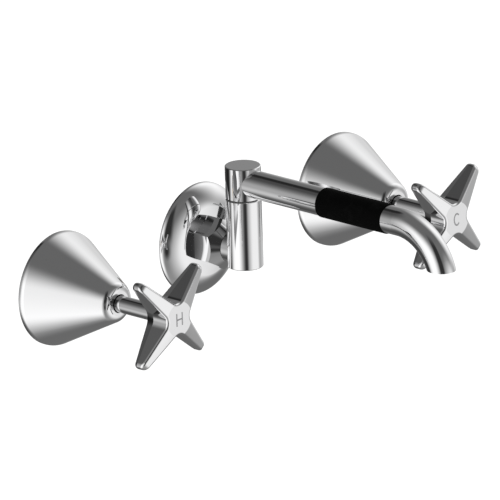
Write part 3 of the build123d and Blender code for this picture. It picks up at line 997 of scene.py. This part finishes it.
@dataclass(frozen=True)
class Loft:
    """A closed ring round the outlet's axis, whose section changes with the angle."""

    columns: int = 180

    def section(self, turn: float) -> Profile:
        """Radii and distances out in mm of the closed section at an angle in degrees."""
        raise NotImplementedError

    def mesh(self, title: str, finish: bpy.types.Material) -> bpy.types.Mesh:
        """Join the sections round the outlet's axis.

        Args:
            title: Name of the mesh.
            finish: Its material.

        Returns:
            The closed ring.
        """
        work = bmesh.new()
        rings = []
        for column in range(self.columns):
            turn = 360 * column / self.columns
            across, up = math.cos(math.radians(turn)), math.sin(math.radians(turn))
            rings.append([
                work.verts.new((reach * across * MM, -out * MM, reach * up * MM))
                for reach, out in self.section(turn)
            ])
        for ring, other in zip(rings, rings[1:] + rings[:1]):
            for corners in zip(ring, ring[1:] + ring[:1], other[1:] + other[:1], other):
                work.faces.new(corners)
        return closed_mesh(work, title, finish)


@dataclass(frozen=True)
class UnionNut(Loft):
    """Hexagonal union nut whose front is turned to a cone. Sizes in mm and degrees."""

    across_flats: float = 24.0
    base_out: float = 8.6
    end_out: float = 23.7
    end_radius: float = 8.4
    cone_angle: float = 45.0
    mouth_radius: float = 6.0
    seat_out: float = 16.9
    thread_radius: float = 10.5
    sides: int = 6

    def section(self, turn: float) -> Profile:
        """Flats and cone outside, mouth and thread inside."""
        side = 360 / self.sides
        off_middle = (turn + side / 2) % side - side / 2
        reach = self.across_flats / 2 / math.cos(math.radians(off_middle))
        fall = (reach - self.end_radius) * math.tan(math.radians(self.cone_angle))
        return [
            (reach, self.base_out), (reach, self.end_out - fall), (self.end_radius, self.end_out),
            (self.mouth_radius, self.end_out), (self.mouth_radius, self.seat_out),
            (self.thread_radius, self.seat_out), (self.thread_radius, self.base_out),
        ]


@dataclass(frozen=True)
class PostBoss(Loft):
    """Round boss between the nut and the post, cut to a saddle where it meets the post.

    Sizes in mm. Its end sinks a little into the post.
    """

    start_out: float = 23.9
    bore_radius: float = 5.62
    radius: float = 8.3
    post_out: float = 33.8
    post_radius: float = 9.5
    sink: float = 0.2

    def saddle(self, across: float) -> float:
        """How far out the post's back is, at a distance across from its middle."""
        return self.post_out - math.sqrt(self.post_radius ** 2 - across ** 2) + self.sink

    def section(self, turn: float) -> Profile:
        """A plain ring but for its end, which follows the post."""
        side = math.cos(math.radians(turn))
        return [
            (self.bore_radius, self.start_out), (self.radius, self.start_out),
            (self.radius, self.saddle(self.radius * side)),
            (self.bore_radius, self.saddle(self.bore_radius * side)),
        ]


@dataclass
class WallOutlet(SubAssembly):
    """The dome on the wall, and the nipple, seal, union nut and tail that carry the post."""

    nodes: tuple[str, ...] = (
        "outlet_nipple", "outlet_seal", "outlet_tail", "outlet_nut", "outlet_flange",
    )
    thread_radius: float = 10.48
    thread_in: float = 16.0
    pressing: Pressing = Pressing()
    union_nut: UnionNut = UnionNut()
    boss: PostBoss = PostBoss()

    def build(self) -> None:
        """Dress the outlet, thread its nipple and form its cover, its nut and the post's boss."""
        self.dress()
        self.threaded("outlet_nipple", (0.0, self.thread_in), self.thread_radius)
        plate = CHROME.material(Lathe.OUTLET)
        self.stand_in("outlet_flange", "pressed", self.pressing.mesh("outlet_flange", plate))
        self.stand_in("outlet_nut", "coned", self.union_nut.mesh("outlet_nut", plate))
        boss = self.boss.mesh("post_boss", plate)
        self.add("post_boss", boss, Body.WALL_FIXINGS, Slot.CHROME)


@dataclass
class Post(SubAssembly):
    """The upright post: its fixed column below the seam, and the head that turns above it."""

    nodes: tuple[str, ...] = (
        "column", "swivel_grub_screw", "swivel_washer", "swivel_head", "swivel_stem",
        "stem_o_rings",
    )
    # The swivel washer takes painted seam shade, near black in place of its own white PTFE.
    special: Mapping[str, Finish] = field(default_factory=lambda: {"swivel_washer": PAINTED_SEAM_SHADE})


@dataclass
class Spout(SubAssembly):
    """The swung tube and the black grip sleeve on it."""

    nodes: tuple[str, ...] = ("spout_tube", "spout_sleeve")


@dataclass(frozen=True)
class Look:
    """The direction that a reflection looks in: a unit vector, and its angles in degrees."""

    nodes: Nodes
    ray: Signal
    azimuth: Signal
    elevation: Signal

    @classmethod
    def into(cls, nodes: Nodes) -> "Look":
        """Read the direction in the world's tree.

        Args:
            nodes: The builder of the world's tree.

        Returns:
            The direction, whose azimuth is 0 straight out of the wall and grows to the right.
        """
        ray = nodes.signal("ShaderNodeTexCoord", output="Generated")
        x, y, z = nodes.parts(ray)
        turn = x.math("ARCTAN2", y * -1.0) * math.degrees(1)
        return cls(nodes, ray, turn, z.math("ARCSINE") * math.degrees(1))


@dataclass(frozen=True)
class Panel:
    """A soft edged panel of the studio, light or dark, placed by its direction in degrees."""

    azimuth: float
    elevation: float
    level: float

    def cover(self, look: Look) -> Signal:
        """How much of it a direction meets, from 0 to 1."""
        raise NotImplementedError


@dataclass(frozen=True)
class Disc(Panel):
    """A round panel that fades out between two angles from its middle."""

    inner: float
    outer: float

    def cover(self, look: Look) -> Signal:
        """Fade by the angle from its middle."""
        turn, tilt = math.radians(self.azimuth), math.radians(self.elevation)
        middle = (math.sin(turn) * math.cos(tilt), -math.cos(turn) * math.cos(tilt), math.sin(tilt))
        near = look.nodes.signal(
            "ShaderNodeVectorMath", {"operation": "DOT_PRODUCT"}, {0: look.ray, 1: middle},
            output="Value",
        )
        return 1.0 - (near.math("ARCCOSINE") * math.degrees(1)).ramp(self.inner, self.outer)


@dataclass(frozen=True)
class Card(Panel):
    """An upright panel whose sides, top and bottom fade."""

    width: float
    height: float
    side_edge: float
    top_edge: float

    def cover(self, look: Look) -> Signal:
        """Fade across its sides, and over its top and bottom."""
        across = abs((look.azimuth - self.azimuth).math("WRAP", 180.0, -180.0))
        up = abs(look.elevation - self.elevation)
        beside, above = (
            off.ramp(size / 2 - edge, size / 2 + edge)
            for off, size, edge in (
                (across, self.width, self.side_edge), (up, self.height, self.top_edge),
            )
        )
        return (1.0 - beside) * (1.0 - above)


@dataclass(frozen=True)
class Studio:
    """White surroundings with soft panels for metal to reflect, and one soft lamp.

    A shell is an elevation in degrees and its light level. Each panel lies over those before it.
    The lamp's spread, tilt and turn are in degrees.
    """

    fill: float = 0.82
    lamp_strength: float = 0.55
    lamp_spread: float = 25.0
    lamp_tilt: float = 38.0
    lamp_turn: float = -28.0
    shells: tuple[tuple[float, float], ...] = (
        (-90, 0.32), (-60, 0.28), (-35, 0.24), (0, 0.16), (40, 0.15), (60, 0.135), (90, 0.135),
    )
    dark_behind: tuple[Panel, ...] = (
        Disc(-168, -8, 0.01, 12, 52), Disc(170, -45, 0.06, 10, 42), Disc(-168, 42, 0.066, 8, 28),
        Disc(110, -55, 0.15, 20, 50), Disc(173, 50, 0.02, 5, 15),
    )
    left_window: tuple[Panel, ...] = (
        Card(-97, -17, 1.10, 56, 95, 20, 21.5), Disc(-115, -30, 1.10, 0, 33),
    )
    front_sheet: tuple[Panel, ...] = (
        Disc(16, -15, 0.92, 5, 55), Disc(29, -16, 0.93, 8, 38),
    )
    right_window: tuple[Panel, ...] = (
        Card(100, -8, 0.58, 70, 36, 20, 10), Card(90, 30, 1.06, 54, 60, 27, 22),
        Disc(66, -8, 0.42, 4, 26),
    )
    dark_strip: tuple[Panel, ...] = (
        Card(-40, 26, 0.03, 33, 60, 6.5, 14), Disc(-39, -17, 0.03, 3, 18),
    )

    def surroundings(self, nodes: Nodes) -> Signal:
        """What polished metal sees, by direction.

        Args:
            nodes: The builder of the world's tree.

        Returns:
            The light level.
        """
        look = Look.into(nodes)
        level: Signal | float = self.shells[0][1]
        for (low, tone), (high, next_tone) in zip(self.shells, self.shells[1:]):
            level = look.elevation.ramp(low, high) * (next_tone - tone) + level
        for panel in (
            *self.dark_behind, *self.left_window, *self.front_sheet, *self.right_window,
            *self.dark_strip,
        ):
            level = level.blend(panel.level, panel.cover(look))
        return level

    def light(self) -> None:
        """Make the world and the lamp. Only glossy rays see the panels, all others plain white."""
        world = bpy.data.worlds.new("studio")
        bpy.context.scene.world = world
        world.use_nodes = True
        nodes = Nodes(world.node_tree)
        path = nodes.add("ShaderNodeLightPath")
        glossy, direct, through = (
            Signal(nodes, path.outputs[f"Is {kind} Ray"])
            for kind in ("Glossy", "Camera", "Transmission")
        )
        plain = direct.math("MAXIMUM", through) * (1.0 - self.fill) + self.fill
        level = plain.blend(self.surroundings(nodes), glossy)
        back = nodes.add("ShaderNodeBackground", {}, {
            "Color": (1.0, 1.0, 1.0, 1.0), "Strength": level,
        })
        nodes.add("ShaderNodeOutputWorld", {}, {"Surface": back.outputs[0]})
        sun = bpy.data.lights.new("key", "SUN")
        sun.energy, sun.angle = self.lamp_strength, math.radians(self.lamp_spread)
        lamp = bpy.data.objects.new("key", sun)
        lamp.rotation_euler = (math.radians(self.lamp_tilt), 0, math.radians(self.lamp_turn))
        lamp.visible_glossy = False
        bpy.context.scene.collection.objects.link(lamp)


@dataclass(frozen=True)
class Floor:
    """Pale matt floor below the set, bright to the camera and open from below. Sizes in mm."""

    drop: float = 380.0
    side: float = 9000.0
    grain: float = 25.0
    glow: float = 0.3
    tint: Tone = (0.86, 0.86, 0.86)
    shade: Tone = (0.84, 0.84, 0.84)

    def material(self) -> bpy.types.Material:
        """Paint with a faint grain, which glows a little for the camera alone.

        Returns:
            The floor's material.
        """
        made = bpy.data.materials.new("pale_floor")
        made.use_nodes = True
        nodes = Nodes(made.node_tree)
        grain = nodes.signal("ShaderNodeTexNoise", {}, {
            "Vector": nodes.signal("ShaderNodeTexCoord", output="Object"),
            "Scale": 1 / (self.grain * MM), "Detail": 4.0,
        })
        paint = nodes.add("ShaderNodeBsdfDiffuse", {}, {
            "Color": nodes.tone(grain, self.tint, self.shade),
        })
        direct = nodes.signal("ShaderNodeLightPath", output="Is Camera Ray")
        glow = nodes.add("ShaderNodeEmission", {}, {
            "Color": (1.0, 1.0, 1.0, 1.0), "Strength": direct * self.glow,
        })
        lit = nodes.add("ShaderNodeAddShader", {}, {0: paint.outputs[0], 1: glow.outputs[0]})
        clear = nodes.add("ShaderNodeBsdfTransparent")
        below = nodes.signal("ShaderNodeNewGeometry", output="Backfacing")
        both = nodes.add("ShaderNodeMixShader", {}, {
            0: below, 1: lit.outputs[0], 2: clear.outputs[0],
        })
        nodes.add("ShaderNodeOutputMaterial", {}, {"Surface": both.outputs[0]})
        return made

    def lay(self) -> None:
        """Lay the floor, unseen by reflections."""
        half, drop = self.side / 2 * MM, -self.drop * MM
        mesh = bpy.data.meshes.new("floor")
        corners = [(-half, -half), (half, -half), (half, half), (-half, half)]
        mesh.from_pydata([(*corner, drop) for corner in corners], [], [(0, 1, 2, 3)])
        mesh.materials.append(self.material())
        made = bpy.data.objects.new("floor", mesh)
        made.visible_glossy = False
        bpy.context.scene.collection.objects.link(made)


@dataclass(frozen=True)
class PhotoCamera:
    """Long lens camera at the photograph's angle. Sizes in mm, but the clip in metres."""

    lens: float = 1600.0
    sensor: float = 36.0
    clip: tuple[float, float] = (0.1, 60.0)
    frame_width: float = 263.16
    right_shift: float = 27.31
    up_shift: float = -6.54
    right: tuple[float, float, float] = (0.68090, -0.73183, -0.02822)
    up: tuple[float, float, float] = (0.24425, 0.19059, 0.95080)

    def place(self) -> None:
        """Make the camera, as far off as its lens needs, and hand it to the scene."""
        data = bpy.data.cameras.new("photo_view")
        data.lens, data.sensor_width = self.lens, self.sensor
        data.clip_start, data.clip_end = self.clip
        right, up = Vector(self.right).normalized(), Vector(self.up).normalized()
        back = right.cross(up).normalized()
        up = back.cross(right)
        reach = self.lens * self.frame_width / self.sensor
        spot = (right * self.right_shift + up * self.up_shift + back * reach) * MM
        turn = Matrix((right, up, back)).transposed().to_4x4()
        made = bpy.data.objects.new("photo_view", data)
        made.matrix_world = Matrix.Translation(spot) @ turn
        bpy.context.scene.collection.objects.link(made)
        bpy.context.scene.camera = made


def main() -> None:
    """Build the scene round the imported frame."""
    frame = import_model()
    bpy.context.scene.view_settings.view_transform = "Standard"
    PhotoCamera().place()
    Studio().light()
    Floor().lay()
    for group in (
        WallOutlet(frame),
        Post(frame),
        Spout(frame),
        Tap(frame, unit="hot", glyph=BarGlyph("hot_mark")),
        Tap(frame, unit="cold", glyph=BowGlyph("cold_mark")),
    ):
        LOG.info("%s of %d solids", type(group).__name__, len(group.nodes))
        group.build()


if __name__ == "__main__":
    logging.basicConfig(level=logging.INFO, format="%(name)s: %(message)s")
    main()
